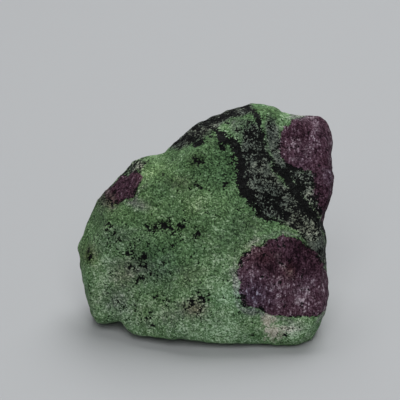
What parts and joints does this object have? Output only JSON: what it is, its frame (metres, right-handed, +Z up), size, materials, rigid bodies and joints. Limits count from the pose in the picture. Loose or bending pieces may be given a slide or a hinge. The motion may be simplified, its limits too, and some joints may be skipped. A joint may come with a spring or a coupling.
{
  "type": "ruby in zoisite stone",
  "caption": "Rough lump of green zoisite rock with black hornblende bands and wine-red ruby crystals, broken on all sides and standing on a flat break.",
  "frame": {"origin": "centre of the stone's bounding box, in the plane of the flat break it stands on", "axes": "+Z up out of the flat break, -Y out of the broad front with the largest ruby, +X to the right of that front"},
  "size_m": [0.0632, 0.0411, 0.052],
  "materials": {
    "ruby_zoisite_rock": "rough broken granular rock: green zoisite, black hornblende and wine-red ruby"
  },
  "bodies": {
    "root": {"ruby_in_zoisite": "ruby_zoisite_rock"}
  },
  "joints": []
}
